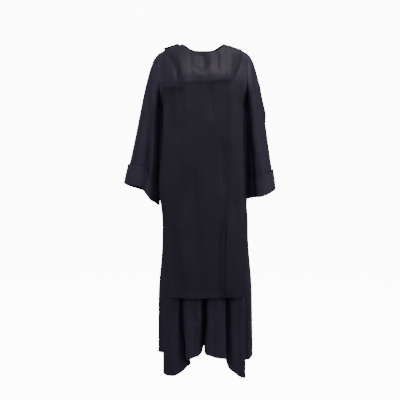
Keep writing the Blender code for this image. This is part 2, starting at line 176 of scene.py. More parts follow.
# The tunic: black polyester suiting, cut in two panels that flare from the shoulders to a full hem
# and hang in deep rounded folds. The panels are sewn at the shoulders, round the armholes and down
# the sides, and the hem is turned up inside and topstitched.
panel_wall = 0.002
seam_gap = 0.0003
layer_gap = 0.001
hem_drop = 1.38
scapular_half_width = 0.168
neck_half_width = 0.099
neck_reach = {-1: 0.073, 1: 0.064}
neck_squareness = 2.7
neck_blend = 0.25
shell = 0.0012

shoulder_outward = (0.000, 0.060, 0.095, 0.110, 0.130, 0.150, 0.168, 0.188, 0.220)
shoulder_heights = (0.002, 0.000, -0.005, -0.0088, -0.015, -0.0215, -0.028, -0.0385, -0.056)

# A row for each section from the shoulder seam down: drop, reach to the front, reach to the back,
# half the width, degrees from the middle to the edge, squareness, share of the shoulder's slope,
# and sideways drift.
tunic_sections = np.array([
    (0, 0, 0, 0.188, 50, 0.75, 1.00, 0),
    (0.0015, 0.018, 0.02, 0.188, 50, 0.75, 1.00, 0),
    (0.006, 0.034, 0.036, 0.188, 50, 0.75, 1.00, 0),
    (0.014, 0.049, 0.05, 0.188, 50, 0.75, 1.00, 0),
    (0.026, 0.06, 0.061, 0.188, 50, 0.75, 1.00, 0),
    (0.056, 0.075, 0.075, 0.188, 50, 0.75, 1.00, 0),
    (0.105, 0.099, 0.093, 0.188, 50, 0.7, 0.8, 0),
    (0.1625, 0.124, 0.107, 0.188, 54, 0.65, 0.5, 0),
    (0.215, 0.129, 0.112, 0.188, 64, 0.6, 0.25, 0),
    (0.255, 0.13, 0.114, 0.188, 76, 0.6, 0.1, 0),
    (0.29, 0.131, 0.115, 0.188, 90, 0.6, 0, 0),
    (0.45, 0.131, 0.116, 0.187, 90, 0.58, 0, 0),
    (0.64, 0.133, 0.118, 0.187, 90, 0.55, 0, 0),
    (0.79, 0.135, 0.121, 0.186, 90, 0.52, 0, 0.01),
    (1.1, 0.148, 0.138, 0.198, 90, 0.5, 0, 0.01),
    (1.38, 0.16, 0.155, 0.2, 90, 0.5, 0, 0.011),
])
armhole_end = 10
section_drop, section_front, section_back, section_half = tunic_sections.T[:4]
section_wrap, section_square, section_follow, section_drift = tunic_sections.T[4:]
section_run = np.concatenate([[0], np.cumsum(np.hypot(np.diff(section_front), np.diff(section_drop)))])

# The skirt's deep folds: degrees round from the middle of the front at the hem, degrees that the
# fold has swung from there at its top, width in degrees, depth at the hem, the drop where it begins,
# and the share of its sideways pull that it has above the hem.
skirt_folds = (
    (-73, 0, 4.2, 0.024, 0.88, 1.0),
    (-30, 0, 3.4, 0.064, 0.7, 0),
    (-5, 3.4, 3.0, 0.115, 0.62, 1.0),
    (31.5, -0.6, 3.4, 0.07, 0.66, 1.0),
    (65, 0, 3.8, 0.03, 0.84, 1.0),
    (118, -3.0, 6.4, 0.05, 0.8, 1.0),
    (146, 2.0, 5.4, 0.06, 0.62, 1.0),
    (176, 3.0, 4.6, 0.08, 0.7, 1.0),
    (-152, -3.0, 5.8, 0.056, 0.58, 1.0),
    (-121, 2.0, 6.4, 0.046, 0.86, 1.0),
)
fold_swings_from = 1.20

# The hem's own line: degrees round, and how low it hangs there.
hem_line = np.array([
    (-180, 1.350), (-152, 1.378), (-130, 1.392), (-90, 1.338), (-77, 1.340), (-67, 1.419), (-56, 1.428),
    (-44, 1.427), (-36, 1.418), (-33.5, 1.408), (-31.5, 1.390), (-28.5, 1.384), (-26.5, 1.358),
    (-19, 1.350), (-10, 1.338), (-8, 1.331), (-6.4, 1.302), (-3.2, 1.304), (-1.2, 1.327), (4, 1.335),
    (12, 1.345), (24, 1.350), (33.6, 1.352), (35, 1.394), (39, 1.415), (47, 1.432), (57, 1.440),
    (61, 1.432), (64, 1.380), (70, 1.366), (78, 1.360), (90, 1.350), (130, 1.396), (146, 1.376),
    (180, 1.350),
])
hem_stretch_from = 1.10


def along_table(stations, values, at):
    """A cubic through a table's values that never overshoots: between two rows it leaves and arrives
    with the harmonic mean of the neighbouring slopes, or level where they change sign."""
    stations = np.asarray(stations, float)
    values = np.asarray(values, float)
    steps = np.diff(stations)
    slopes = np.diff(values) / steps
    turning = slopes[:-1] * slopes[1:] <= 0
    total = np.where(turning, 1.0, slopes[:-1] + slopes[1:])
    middle = np.where(turning, 0.0, 2 * slopes[:-1] * slopes[1:] / total)
    tangents = np.concatenate([slopes[:1], middle, slopes[-1:]])
    at = np.clip(at, stations[0], stations[-1])
    left = np.clip(np.searchsorted(stations, at, side="right") - 1, 0, len(steps) - 1)
    part = (at - stations[left]) / steps[left]
    ends = values[left] + (values[left + 1] - values[left]) * part * part * (3 - 2 * part)
    bend = part * (1 - part) ** 2 * tangents[left] + part * part * (part - 1) * tangents[left + 1]
    return ends + steps[left] * bend


def eased(value):
    """0 to 1 with level ends: 3v^2 - 2v^3 of the value held between 0 and 1."""
    value = np.clip(value, 0, 1)
    return value * value * (3 - 2 * value)


def drawn_in(around, drop):
    """How far the deep folds draw the skirt in, in all and sideways: for each, depth x part of the
    way to the hem ^ 1.2 x the bell exp(-(degrees off / width)^2)."""
    inward = np.zeros(np.broadcast(around, drop).shape)
    sideways = inward.copy()
    low = eased((drop - fold_swings_from) / (hem_drop - fold_swings_from))
    for middle, swing, width, depth, start, share in skirt_folds:
        grown = np.clip((drop - start) / (hem_drop - start), 0, 1) ** 1.2
        off = (around - middle - swing * (1 - low) + 180) % 360 - 180
        pull = depth * grown * np.exp(-((off / width) ** 2))
        inward += pull
        sideways += pull * (share + (1 - share) * low)
    return inward, sideways


def degrees_round(side, turn):
    """Degrees round the body from the middle of the front, for a panel's own angle in radians."""
    return np.degrees(turn) if side < 0 else 180 - np.degrees(turn)


def tunic_turn(across, run):
    """A panel's own angle: arcsin(across x scapular half width / full) as far as the scapular's edge
    at 1, then evenly on to the panel's edge at 2."""
    wrap = np.radians(along_table(section_run, section_wrap, run))
    full = along_table(section_run, section_half, run) / np.sin(wrap)
    edge = np.arcsin(scapular_half_width / full)
    outward = np.abs(across)
    under = np.arcsin(np.clip(outward, 0, 1) * scapular_half_width / full)
    turn = np.where(outward <= 1, under, edge + (outward - 1) * (wrap - edge))
    return turn * np.sign(across), full


def tunic_form(side, across, run, folded=True):
    """The tunic's surface: x = full sin(turn), y = reach |cos(turn)|^square, z = share of the
    shoulder line minus the drop; then the folds draw x and y in, and the hem's line lengthens z."""
    across, run = np.broadcast_arrays(np.asarray(across, float), np.asarray(run, float))
    drop = along_table(section_run, section_drop, run)
    reach = along_table(section_run, section_front if side < 0 else section_back, run)
    square = along_table(section_run, section_square, run)
    turn, full = tunic_turn(across, run)
    x = full * np.sin(turn)
    y = side * reach * np.abs(np.cos(turn)) ** square
    if folded:
        around = degrees_round(side, turn)
        inward, sideways = drawn_in(around, drop)
        radius = np.maximum(np.hypot(x, y), 0.05)
        x = x * (1 - sideways / radius)
        y = y * (1 - inward / radius)
        longer = along_table(hem_line[:, 0], hem_line[:, 1], (around + 180) % 360 - 180) - hem_drop
        drop = drop + longer * np.clip((drop - hem_stretch_from) / (hem_drop - hem_stretch_from), 0, 1)
    slope = along_table(section_run, section_follow, run)
    z = slope * along_table(shoulder_outward, shoulder_heights, np.abs(x)) - drop
    x = x + along_table(section_run, section_drift, run)
    return np.stack([x, y + side * seam_gap / 2, z], axis=-1)


def neck_start(side, across):
    """How far down the cloth a column begins: where its reach meets the neckline, a squared ellipse
    reach (1 - (x / half width)^n)^(1/n) as seen from above; 0 on the shoulder seam."""
    trial = np.linspace(0, neck_blend, 501)
    outward = np.minimum(np.abs(across) * scapular_half_width / neck_half_width, 1)
    wanted = neck_reach[side] * (1 - outward**neck_squareness) ** (1 / neck_squareness)
    depths = np.abs(tunic_form(side, across[:, None], trial[None, :])[..., 1]) - seam_gap / 2
    past = np.clip((depths < wanted[:, None]).sum(axis=1), 1, len(trial) - 1)
    column = np.arange(len(across))
    before, after = depths[column, past - 1], depths[column, past]
    part = np.clip((wanted - before) / np.maximum(after - before, 1e-9), 0, 1)
    return np.where(wanted <= 0, 0, trial[past - 1] + part * (trial[past] - trial[past - 1]))


def panel_grid(side, across, run, folded=True):
    """A panel's points, a row for each run: a column that begins inside the neck has its first
    quarter metre shortened, run x (1 - start / quarter) + start."""
    start = neck_start(side, across)[None, :]
    run = np.asarray(run)[:, None]
    shortened = start + run * (1 - start / neck_blend)
    return tunic_form(side, across[None, :], np.where(run < neck_blend, shortened, run), folded)


def facing(points, closed=False):
    """Unit normals of a grid: the cross product of its differences along rows and down columns."""
    if closed:
        along = np.roll(points, -1, axis=1) - np.roll(points, 1, axis=1)
    else:
        along = np.gradient(points, axis=1)
    normals = np.cross(along, np.gradient(points, axis=0))
    return normals / np.maximum(np.linalg.norm(normals, axis=-1, keepdims=True), 1e-12)


def facing_out(side, points):
    """A panel's unit normals, turned so that on the whole they point to its own side."""
    normals = facing(points)
    return normals * np.sign(side * normals[..., 1].sum())


def crease_relief(u, v, creases):
    """How far creases lift the cloth. Each runs from one place to another, with a sideways bow of
    its middle, and stands height x fade at both ends x exp(-(sqrt(s^2 + r^2) - r) / width), where s
    is the distance to its line and r its rounding; the width differs on its two sides."""
    lift = np.zeros(np.broadcast(u, v).shape)
    for *millimetres, fade in creases:
        u0, v0, u1, v1, bow, near, far, rounding, height = (value / 1000 for value in millimetres)
        length = math.hypot(u1 - u0, v1 - v0)
        along_u, along_v = (u1 - u0) / length, (v1 - v0) / length
        part = ((u - u0) * along_u + (v - v0) * along_v) / length
        off = (u - u0) * along_v - (v - v0) * along_u - bow * 4 * part * (1 - part)
        width = np.where(off < 0, near, far)
        profile = np.exp(-(np.sqrt(off**2 + rounding**2) - rounding) / width)
        ends = eased((part + fade) / (2 * fade)) * eased((1 + fade - part) / (2 * fade))
        lift += height * ends * profile
    return lift


step_width = 0.003
groove_depth = 0.00025
groove_width = 0.0011


def hem_relief(distance, depth, doubled=0.0005):
    """The doubled cloth of a turned-up edge stands out as far as its stitching, which pulls in a
    narrow groove: doubled x an eased step minus groove depth x a bell at the stitch line."""
    step = doubled * (1 - eased((distance - depth + step_width / 2) / step_width))
    return step - groove_depth * np.exp(-(((distance - depth) / groove_width) ** 2))


def flat_place(points, closed=False):
    """Each point's place in the flat cloth: metres across by the mean spacing of the columns, and
    metres down by the distance along each column."""
    ends = np.concatenate([points, points[:, :1]], axis=1) if closed else points
    across = np.linalg.norm(np.diff(ends, axis=1), axis=-1).mean(axis=0)
    across = np.concatenate([[0], np.cumsum(across)])
    down = np.linalg.norm(np.diff(ends, axis=0), axis=-1)
    down = np.concatenate([np.zeros((1, ends.shape[1])), np.cumsum(down, axis=0)])
    return np.stack([across[None, :] + 0 * down, -down], axis=-1)


def ramp(added, source, low, high, begins=0.0, ends=1.0):
    """The colour from low to high as a value runs from where it begins to where it ends."""
    node = added("ValToRGB", {"Fac": source})
    first, last = node.color_ramp.elements
    first.position, last.position = begins, ends
    first.color, last.color = (*low, 1), (*high, 1)
    return node.outputs["Color"]


def suiting(name, colour, lustre, roughness=0.62, twill=1.0):
    """Black suiting: fine twill lines and a crosswise thread give the bump, slow unevenness moves
    the colour and the gloss, and a soft violet sheen catches the light at the folds."""
    sheen = {"Sheen Weight": lustre, "Sheen Roughness": 0.42, "Sheen Tint": (0.78, 0.70, 1.0, 1)}
    material, shader, added = shaded(name, {**sheen, "Specular IOR Level": 0.16})
    flat = added("UVMap")
    flat.uv_map = "cloth_metres"
    in_cloth = flat.outputs["UV"]
    turned = added("Mapping", {"Rotation": (0, 0, math.radians(58)), "Vector": in_cloth})
    diagonal = added("TexWave", {
        "Scale": 420 * twill, "Distortion": 1.2, "Detail": 1.0, "Detail Scale": 0.3,
        "Vector": turned.outputs["Vector"],
    })
    stretched = added("Mapping", {"Scale": (1400, 160, 1), "Vector": in_cloth})
    thread = added("TexNoise", {"Scale": 1.0, "Detail": 3.0, "Vector": stretched.outputs["Vector"]})
    woven = added("Math")
    woven.operation = "MULTIPLY_ADD"
    fill(woven, {0: diagonal.outputs["Fac"], 1: 0.55, 2: thread.outputs["Fac"]})

    in_space = added("TexCoord").outputs["Object"]
    slow_look = {"Scale": 6.5, "Detail": 4.0, "Roughness": 0.55, "Vector": in_space}
    slow = added("TexNoise", slow_look).outputs["Fac"]
    darker, lighter = ([channel * share for channel in colour] for share in (0.84, 1.16))
    tone = ramp(added, slow, darker, lighter, 0.32, 0.70)
    grain = ramp(added, woven.outputs["Value"], (0.62, 0.60, 0.66), (1.0, 1.0, 1.0), 0.45)
    threaded = added("Mix")
    threaded.data_type = "RGBA"
    threaded.blend_type = "MULTIPLY"
    fill(threaded, {"Factor": 0.45, "A": tone, "B": grain})
    gloss = added("MapRange", {
        "From Min": 0.3, "From Max": 0.7, "To Min": roughness - 0.05, "To Max": roughness + 0.06,
        "Value": slow,
    })
    puckered = added("TexNoise", {"Scale": 34, "Detail": 2.0, "Vector": in_space})
    soft_look = {"Strength": 0.32, "Distance": 0.0012, "Height": puckered.outputs["Fac"]}
    soft_bump = added("Bump", soft_look)
    weave_bump = added("Bump", {
        "Strength": 0.28, "Distance": 0.00022, "Height": woven.outputs["Value"],
        "Normal": soft_bump.outputs["Normal"],
    })
    surface = {"Base Color": threaded.outputs["Result"], "Roughness": gloss.outputs["Result"]}
    fill(shader, {**surface, "Normal": weave_bump.outputs["Normal"]})
    return material


def cloth_shell(name, points, material, node, closed=False, turned=False, wall=shell):
    """A cut piece of cloth: the grid as a surface, with a wall that is centred on it."""
    mesh = grid_mesh(name, points, flat_place(points, closed), closed, turned)
    mesh.materials.append(material)
    piece = placed(name, mesh)
    thickness = piece.modifiers.new("cloth thickness", "SOLIDIFY")
    thickness.thickness = wall
    thickness.offset = 0.0
    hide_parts(node)
    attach(piece, "root")
    return piece


def thread_line(points, normals, stitch=0.0027, gap=0.0011, thick=0.00032, lift=0.0007):
    """Stitches along a line of points: each is a slim spindle of two four-sided rings and two tips,
    laid every stitch + gap along the line and lifted off the cloth, its middle highest."""
    lengths = np.concatenate([[0], np.cumsum(np.linalg.norm(np.diff(points, axis=0), axis=1))])
    count = int(lengths[-1] / (stitch + gap))
    middle = (np.arange(count) + 0.5) * (lengths[-1] / count)

    def on_line(values, at):
        return np.stack([np.interp(at, lengths, values[:, axis]) for axis in range(3)], axis=-1)

    normal = on_line(normals, middle)
    normal /= np.linalg.norm(normal, axis=-1, keepdims=True)
    head, tail = on_line(points, middle - stitch / 2), on_line(points, middle + stitch / 2)
    forward = (tail - head) / np.maximum(np.linalg.norm(tail - head, axis=-1, keepdims=True), 1e-9)
    sideways = np.cross(normal, forward)
    corners = [head + normal * (lift - thick * 0.8)]
    for part in (0.28, 0.72):
        centre = head + (tail - head) * part + normal * lift
        for turn in (45, 135, 225, 315):
            wide, high = math.cos(math.radians(turn)), math.sin(math.radians(turn))
            corners.append(centre + thick * (wide * sideways + high * normal))
    corners.append(tail + normal * (lift - thick * 0.8))
    faces = [(0, 2, 1), (0, 3, 2), (0, 4, 3), (0, 1, 4), (9, 5, 6), (9, 6, 7), (9, 7, 8), (9, 8, 5)]
    faces += [(1, 2, 6), (1, 6, 5), (2, 3, 7), (2, 7, 6), (3, 4, 8), (3, 8, 7), (4, 1, 5), (4, 5, 8)]
    return np.stack(corners, axis=1), np.array(faces)


def thread_piece(name, lines, material):
    """All the stitches of a piece joined in one mesh."""
    vertices, faces, done = [], [], 0
    for points, pattern in lines:
        count, each = points.shape[:2]
        vertices.append(points.reshape(-1, 3))
        faces.append((pattern[None] + (done + each * np.arange(count))[:, None, None]).reshape(-1, 3))
        done += count * each
    mesh = bpy.data.meshes.new(name)
    mesh.from_pydata(np.concatenate(vertices).tolist(), [], np.concatenate(faces).tolist())
    mesh.materials.append(material)
    mesh.shade_smooth()
    piece = placed(name, mesh)
    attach(piece, "root")
    return piece


def sewing_thread(name, colour):
    """Polyester thread: a soft gloss, with the twist of its plies as fine slanting lines."""
    look = {"Sheen Weight": 0.05, "Roughness": 0.70, "Specular IOR Level": 0.2}
    material, shader, added = shaded(name, look)
    plies = added("TexNoise", {"Scale": 900, "Vector": added("TexCoord").outputs["Object"]})
    darker, lighter = ([channel * share for channel in colour] for share in (0.7, 1.4))
    fill(shader, {"Base Color": ramp(added, plies.outputs["Fac"], darker, lighter)})
    return material


# The creases over the chest, shared by the tunic and the scapular on it. Each row holds, in
# millimetres, its start x and z, its end x and z, its bow, its widths on either side, its rounding
# and its height, and then the share of its length that fades at the ends.
chest_creases = (
    (-130, -183, 134, -170, 0, 34, 18, 2, 5.5, 0.08),
    (-165, -198, -85, -202, 0, 16, 10, 3, 4.4, 0.2),
    (-150, -55, -110, -176, -6, 6, 18, 5, -4.8, 0.28),
    (-138, -85, -122, -160, -4, 8, 12, 6, 2.2, 0.3),
    (-100, -70, -80, -172, 2, 22, 12, 8, 3.6, 0.32),
    (0, -50, 4, -108, 0, 9, 26, 10, -8.2, 0.35),
    (-38, -122, 14, -119, 4, 10, 12, 6, -5.2, 0.3),
    (-114, -95, -106, -172, -2, 6, 9, 3, -4.6, 0.25),
    (-52, -60, -46, -165, 3, 7, 8, 4, -3, 0.28),
    (36, -124, -26, -172, 3, 6, 6, 4, 1.8, 0.26),
    (-34, -130, 4, -164, 2, 6, 6, 4, 1.4, 0.28),
    (34, -48, 36, -165, 2, 5, 6, 3, 2.4, 0.22),
    (60, -45, 63, -112, -2, 9, 10, 6, -4, 0.35),
    (74, -45, 76, -130, 2, 6, 6, 4, 2.4, 0.22),
    (120, -50, 98, -172, -6, 18, 30, 12, 6.2, 0.2),
    (166, -56, 127, -168, -8, 18, 6, 3, -4, 0.18),
    (-18, -38, -16, -58, 0, 4, 4, 3, -2, 0.3),
)
shoulder_creases_behind = (
    (-120, -50, -60, -210, 10, 14, 18, 6, -3.4, 0.25),
    (128, -56, 70, -190, -10, 13, 17, 6, -3.2, 0.25),
    (-20, -70, 18, -230, 6, 16, 14, 8, 2.4, 0.3),
)
upper_creases = {-1: chest_creases, 1: shoulder_creases_behind}

# The tunic's own smaller creases, by millimetres round the body from the middle of the front (3.5 mm
# to a degree) and millimetres down: softer ridges and troughs between the skirt's deep folds, and
# long drag lines down from the underarm.
round_metres = 0.0035
skirt_creases = (
    (-160, -960, -158, -1440, 6, 16, 20, 8, 7, 0.22),
    (-134, -1100, -130, -1460, -4, 8, 10, 4, -4.5, 0.25),
    (-74, -1000, -70, -1400, 4, 14, 16, 8, 6.5, 0.22),
    (-66, -1130, -34, -1200, 3, 6, 9, 4, -3, 0.25),
    (-46, -1100, -44, -1400, 3, 7, 10, 4, -4.8, 0.2),
    (-26, -1050, -27, -1380, 2, 7, 9, 5, 4, 0.22),
    (18, -1080, 19, -1400, -2, 7, 8, 4, 3.6, 0.22),
    (34, -1120, 31, -1380, 2, 6, 9, 4, -4.2, 0.22),
    (62, -1040, 66, -1400, 4, 16, 14, 8, 5.5, 0.22),
    (130, -1100, 128, -1460, -4, 10, 14, 6, 5, 0.22),
    (158, -1000, 160, -1440, 5, 12, 14, 6, -4, 0.25),
    (178, -980, 184, -1420, 3, 14, 16, 6, 5, 0.22),
    (272, -270, 270, -700, 0, 11, 11, 5, 8, 0.1),
    (245, -360, 250, -980, 6, 10, 14, 6, -4, 0.3),
    (318, -300, 330, -800, -8, 18, 16, 8, 4.8, 0.3),
    (352, -420, 356, -1200, 8, 16, 22, 8, -4.2, 0.25),
    (300, -950, 306, -1440, 6, 18, 22, 8, 6, 0.25),
    (455, -900, 462, -1420, -4, 18, 20, 8, 6, 0.25),
    (560, -950, 566, -1400, 4, 16, 18, 8, 5.5, 0.25),
    (-272, -270, -270, -700, 0, 11, 11, 5, 8, 0.1),
    (-242, -340, -248, -1000, -6, 12, 12, 6, -4, 0.3),
    (-306, -300, -322, -860, 8, 16, 20, 8, 4.6, 0.3),
    (-345, -440, -352, -1220, -6, 18, 18, 8, -4.4, 0.25),
    (-290, -980, -296, -1440, 5, 20, 18, 8, 6.2, 0.25),
    (-470, -920, -478, -1420, 4, 18, 20, 8, 6.2, 0.25),
    (-585, -880, -578, -1400, -5, 18, 16, 8, 5.6, 0.25),
)


neck_corner = neck_half_width / scapular_half_width


def neck_columns(inside):
    """Places across the neck from the middle to its end, closer together there: sine steps."""
    return neck_corner * np.sin(np.linspace(0, math.pi / 2, inside + 1))


def tunic_columns(inside, shoulder, beside):
    """Places across a panel: the neck's, even ones to the scapular's edge at 1, and even ones to the
    panel's edge at 2."""
    over_shoulder = np.linspace(neck_corner, 1, shoulder + 1)[1:]
    half = np.concatenate([neck_columns(inside), over_shoulder, np.linspace(1, 2, beside + 1)[1:]])
    return np.concatenate([-half[:0:-1], half])


def run_at(drop):
    """The distance down the cloth at a drop, straight between the sections."""
    return np.interp(drop, section_drop, section_run)


def panel_rows(stops, counts, end, steps):
    """Rows down a panel: even ones from each stop to the next, then ones that close up on its edge,
    so that the edge's fold and stitch groove are drawn."""
    even = [np.linspace(*reach, count)[1:] for *reach, count in zip(stops, stops[1:], counts)]
    return np.concatenate([[0], *even, end - np.array(steps)])


tunic_end = run_at(hem_drop)
hem_steps = (
    0.034, 0.027, 0.022, 0.0185, 0.0165, 0.015, 0.0138, 0.0126, 0.011, 0.008, 0.0045, 0.0018, 0.0
)
hem_stitch_row = 6 - len(hem_steps)
hem_depth = 0.0145
cloth_per_run = 0.98
edge_to_seam = 0.11
seam_pull = 0.0007
seam_pull_width = 0.0035
shoulder_pull = 0.0005
closing_width = 0.004
closing_overlap = 0.0001
calm_width = 0.012
calm_least = 0.4


def tunic_panel(side, columns, rows):
    """A panel's form with its creases: points moved along their normals by the upper creases, by
    the skirt's and by the hem's relief, and drawn in at the seams by pull x exp(-(distance /
    width)^2), where the panels' edges are brought together over the gap between the solids."""
    points = panel_grid(side, columns, rows)
    normals = facing_out(side, points)
    run = np.asarray(rows)[:, None]
    turn, _ = tunic_turn(columns[None, :], run)
    around = (degrees_round(side, turn) + 180) % 360 - 180
    smooth_z = points[..., 2]
    lift = crease_relief(points[..., 0], smooth_z, upper_creases[side])
    other_way = around * round_metres - 360 * round_metres * np.sign(around)
    lift = lift + crease_relief(around * round_metres, smooth_z, skirt_creases)
    lift = lift + crease_relief(other_way, smooth_z, skirt_creases)
    lift = lift + hem_relief((rows[-1] - run) * cloth_per_run, hem_depth)
    side_seam = (2 - np.abs(columns))[None, :] * edge_to_seam
    calm = eased(side_seam / calm_width) * (1 - calm_least) + calm_least
    shoulder_seam = np.minimum(run, 0.05)
    lift = lift * calm * eased((run + 0.004) / 0.02)
    at_shoulder = np.exp(-((shoulder_seam / closing_width) ** 2))
    pulled = seam_pull * np.exp(-((side_seam / seam_pull_width) ** 2))
    lift = lift - pulled - shoulder_pull * at_shoulder
    points = points + normals * lift[..., None]
    at_seam = np.exp(-((side_seam / closing_width) ** 2)) + at_shoulder
    points[..., 1] -= side * (seam_gap / 2 + closing_overlap) * np.minimum(at_seam, 1)
    return points, normals


suit_black = suiting("tunic_suiting", (0.0144, 0.0114, 0.0240), 0.022)
black_thread = sewing_thread("black_thread", (0.014, 0.013, 0.019))

shoulder_run = section_run[4]
tunic_stops = (0, shoulder_run, run_at(0.30), run_at(1.02), tunic_end - 0.037)
front_rows = panel_rows(tunic_stops, (9, 40, 58, 84), tunic_end, hem_steps)
back_rows = panel_rows(tunic_stops, (8, 26, 44, 52), tunic_end, hem_steps)
front_points, front_normals = tunic_panel(-1, tunic_columns(40, 32, 38), front_rows)
back_points, back_normals = tunic_panel(1, tunic_columns(32, 24, 28), back_rows)
tunic_front = cloth_shell(
    "tunic_front_cloth", front_points, suit_black, "tunic_front", turned=True
)
tunic_back = cloth_shell("tunic_back_cloth", back_points, suit_black, "tunic_back")
hem_seams = [
    thread_line(front_points[hem_stitch_row], front_normals[hem_stitch_row]),
    thread_line(back_points[hem_stitch_row], back_normals[hem_stitch_row]),
]
tunic_stitches = thread_piece("tunic_hem_stitches", hem_seams, black_thread)

# The scapular: two long straight panels of the same suiting, its base colour darkened as painted
# shade, laid over the tunic, joined at the wearer's left shoulder and open at the sides, with narrow
# topstitched side hems and a deeper bottom hem.
scapular_drop = 1.09

# Its own creases on the front panel and then on the back one, with the same columns as the chest's.
scapular_creases = {
    -1: (
        (-111, -180, -112, -410, 4, 18, 14, 6, -8.5, 0.2),
        (-74, -185, -72, -580, -4, 24, 11, 4, 9.5, 0.22),
        (36, -200, 38, -330, 2, 10, 12, 4, -5, 0.25),
        (52, -310, 0, -450, 6, 12, 12, 6, 3.4, 0.3),
        (112, -185, 110, -480, -4, 28, 12, 6, 9.5, 0.22),
        (85, -440, 86, -630, 3, 12, 12, 5, -7, 0.22),
        (104, -560, 92, -860, 4, 10, 12, 3, -8.5, 0.22),
        (106, -760, 98, -1120, 3, 40, 11, 3, 15, 0.22),
        (80, -800, 70, -1120, 2, 10, 30, 4, -7, 0.22),
        (-82, -740, -78, -1020, 4, 24, 12, 5, 10.5, 0.25),
        (-152, -400, -150, -600, 0, 4, 6, 3, -3, 0.2),
        (-40, -560, -34, -900, -4, 14, 18, 8, -5.5, 0.28),
        (18, -560, 10, -980, 6, 20, 24, 10, 5.5, 0.3),
        (142, -560, 140, -800, 4, 10, 12, 5, -3.6, 0.28),
        (-124, -800, -120, -1080, -3, 12, 14, 6, -5.5, 0.25),
    ),
    1: (
        (-88, -240, -74, -980, 8, 18, 22, 10, 7, 0.28),
        (-30, -340, -34, -860, -6, 14, 18, 8, -4.8, 0.28),
        (44, -260, 36, -740, 6, 20, 20, 10, 6.2, 0.28),
        (104, -300, 112, -1020, -8, 16, 20, 8, 6.6, 0.28),
        (10, -700, 16, -1080, 4, 16, 18, 8, 5.8, 0.25),
        (-130, -520, -134, -1000, 4, 14, 14, 6, 4.6, 0.28),
    ),
}

# The soft folds: place and width as parts of the half width, depth at the hem, and the drop where
# each begins.
scapular_dips = {
    -1: ((0.47, 0.15, 0.012, 0.62), (-0.10, 0.16, 0.005, 0.78), (-0.74, 0.13, 0.005, 0.20)),
    1: ((-0.42, 0.17, 0.010, 0.50), (0.18, 0.15, 0.007, 0.66), (0.70, 0.13, 0.005, 0.30)),
}
scapular_stand = 0.014
scapular_edge_stand = 0.024
scapular_hem_sag = 0.006
scapular_hem_depth = 0.020
side_hem_depth = 0.012
side_hem_doubled = 0.0003


def scapular_panel(side, columns, rows):
    """The tunic's form moved out by a wall and a gap, standing off more and flatter further down,
    less the soft folds, then moved along its normals by the chest's creases and its own."""
    under = panel_grid(side, columns, rows, folded=False)
    normals = facing_out(side, under)
    lifted = crease_relief(under[..., 0], under[..., 2], upper_creases[side])
    lifted = lifted * eased((np.asarray(rows)[:, None] + 0.004) / 0.02)
    points = under + normals * (panel_wall + layer_gap + lifted)[..., None]
    down = np.clip(-points[..., 2] / scapular_drop, 0, 1)
    away = scapular_stand * np.clip((down - 0.12) / 0.88, 0, 1) ** 0.8
    away = away + scapular_edge_stand * columns[None, :] ** 2 * np.clip((down - 0.15) / 0.4, 0, 1)
    for across, width, depth, start in scapular_dips[side]:
        grown = np.clip((down - start / scapular_drop) / (1 - start / scapular_drop), 0, 1)
        away = away - depth * grown * np.exp(-(((columns[None, :] - across) / width) ** 2))
    points[..., 1] += side * away
    normals = facing_out(side, points)
    own = crease_relief(points[..., 0], points[..., 2], scapular_creases[side])
    own = own * eased((-0.13 - points[..., 2]) / 0.08)
    to_hem = (rows[-1] - np.asarray(rows))[:, None]
    to_side = (1 - np.abs(columns))[None, :] * scapular_half_width
    own = own + hem_relief(to_hem + 0 * to_side, scapular_hem_depth)
    own = own + hem_relief(to_side + 0 * to_hem, side_hem_depth, side_hem_doubled)
    points = points + normals * own[..., None]
    points[..., 2] -= scapular_hem_sag * np.exp(-(((points[..., 0] + 0.03) / 0.07) ** 2)) * down**6
    return points, normals


side_hem_steps = (0.0165, 0.0145, 0.0132, 0.012, 0.0108, 0.009, 0.006, 0.003, 0.0011, 0.0)
side_stitch_column = 6


def scapular_columns(inside, shoulder):
    """The neck's places, even ones after it, and extra ones at the edge for its hem's groove."""
    near = 1 - np.array(side_hem_steps) / scapular_half_width
    outer = np.linspace(neck_corner, near[0] - 0.012, shoulder + 1)[1:]
    half = np.concatenate([neck_columns(inside), outer, near])
    return np.concatenate([-half[:0:-1], half])


scapular_hem_steps = (
    0.030, 0.0255, 0.0232, 0.0215, 0.020, 0.0185, 0.0165, 0.013, 0.008, 0.004, 0.0015, 0.0
)
scapular_stitch_row = 4 - len(scapular_hem_steps)
# The tunic's suiting with its base colour darkened to about six tenths: painted shade on the scapular.
scapular_suiting_painted_shade = suiting("scapular_suiting_painted_shade", (0.0084, 0.0069, 0.0148), 0.020)
scapular_end = run_at(scapular_drop)
above_hem = scapular_end - 0.034
scapular_grids = {}
for side, middle_stop, counts, across in (
    (-1, run_at(0.23), (9, 44, 128), (32, 22)),
    (1, run_at(0.30), (8, 28, 84), (26, 18)),
):
    stops = (0, shoulder_run, middle_stop, above_hem)
    rows = panel_rows(stops, counts, scapular_end, scapular_hem_steps)
    scapular_grids[side] = scapular_panel(side, scapular_columns(*across), rows)
scapular_front = cloth_shell(
    "scapular_front_cloth", scapular_grids[-1][0], scapular_suiting_painted_shade, "scapular_front",
    turned=True,
)
scapular_back = cloth_shell(
    "scapular_back_cloth", scapular_grids[1][0], scapular_suiting_painted_shade, "scapular_back"
)
scapular_seams = []
for panel_points, panel_normals in scapular_grids.values():
    hem = (scapular_stitch_row, slice(side_stitch_column, -side_stitch_column))
    scapular_seams.append(thread_line(panel_points[hem], panel_normals[hem]))
    for column in (side_stitch_column, -1 - side_stitch_column):
        edge = (slice(4, scapular_stitch_row), column)
        scapular_seams.append(thread_line(panel_points[edge], panel_normals[edge], 0.003, 0.0014))
scapular_stitches = thread_piece("scapular_stitches", scapular_seams, black_thread)

